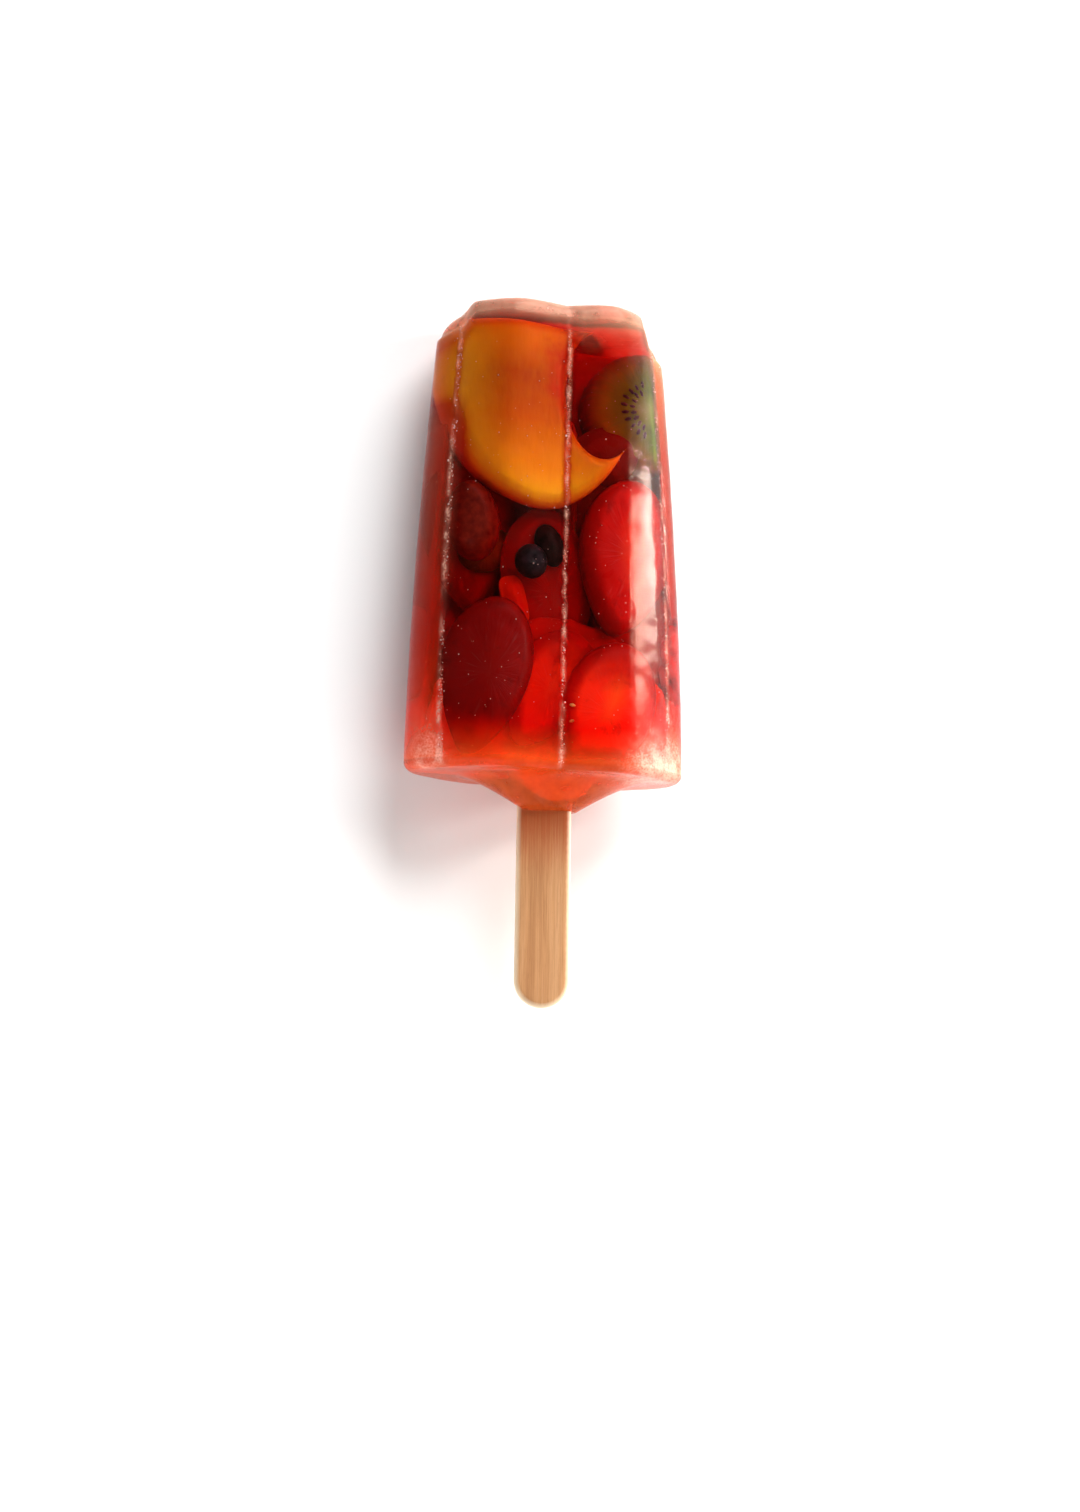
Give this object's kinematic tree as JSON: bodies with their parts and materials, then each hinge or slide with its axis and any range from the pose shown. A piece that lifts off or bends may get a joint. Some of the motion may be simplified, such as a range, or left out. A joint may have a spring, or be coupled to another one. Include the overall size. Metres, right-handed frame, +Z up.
{
  "type": "ice lolly",
  "caption": "Ribbed, tapered lolly of clear red fruit ice on a flat wooden stick, with fruit slices and berries frozen in, lying on its back.",
  "frame": {"origin": "on the ground, under the middle of the whole lolly as it lies on its back", "axes": "+X to the lolly's right as its shown face is looked down on, +Y from the stick to the tip, +Z up out of the shown face"},
  "size_m": [0.054, 0.135, 0.0245],
  "materials": {
    "juice_ice": "clear red juice ice, glossy with melt, frosted along the grooves and edges",
    "pale_wood": "unvarnished pale wood with fine lengthwise grain, damp near the ice",
    "peach": "wet orange-yellow peach flesh with a red blush at the stone hollow",
    "kiwi": "wet olive-green kiwi flesh with a pale core and small black seeds",
    "strawberry": "wet red strawberry flesh, paler and orange towards the core",
    "cherry": "very dark red, wet cherry flesh",
    "blueberry": "near-black blueberry skin",
    "raspberry": "crimson raspberry beads"
  },
  "bodies": {
    "root": {"ice": "juice_ice", "stick": "pale_wood", "peach_slice": "peach", "peach_chunk": "peach", "kiwi_slice": "kiwi", "strawberry_upper": "strawberry", "strawberry_right": "strawberry", "strawberry_left": "strawberry", "dark_cherry": "cherry", "blueberry": "blueberry", "raspberry": "raspberry"}
  },
  "joints": []
}
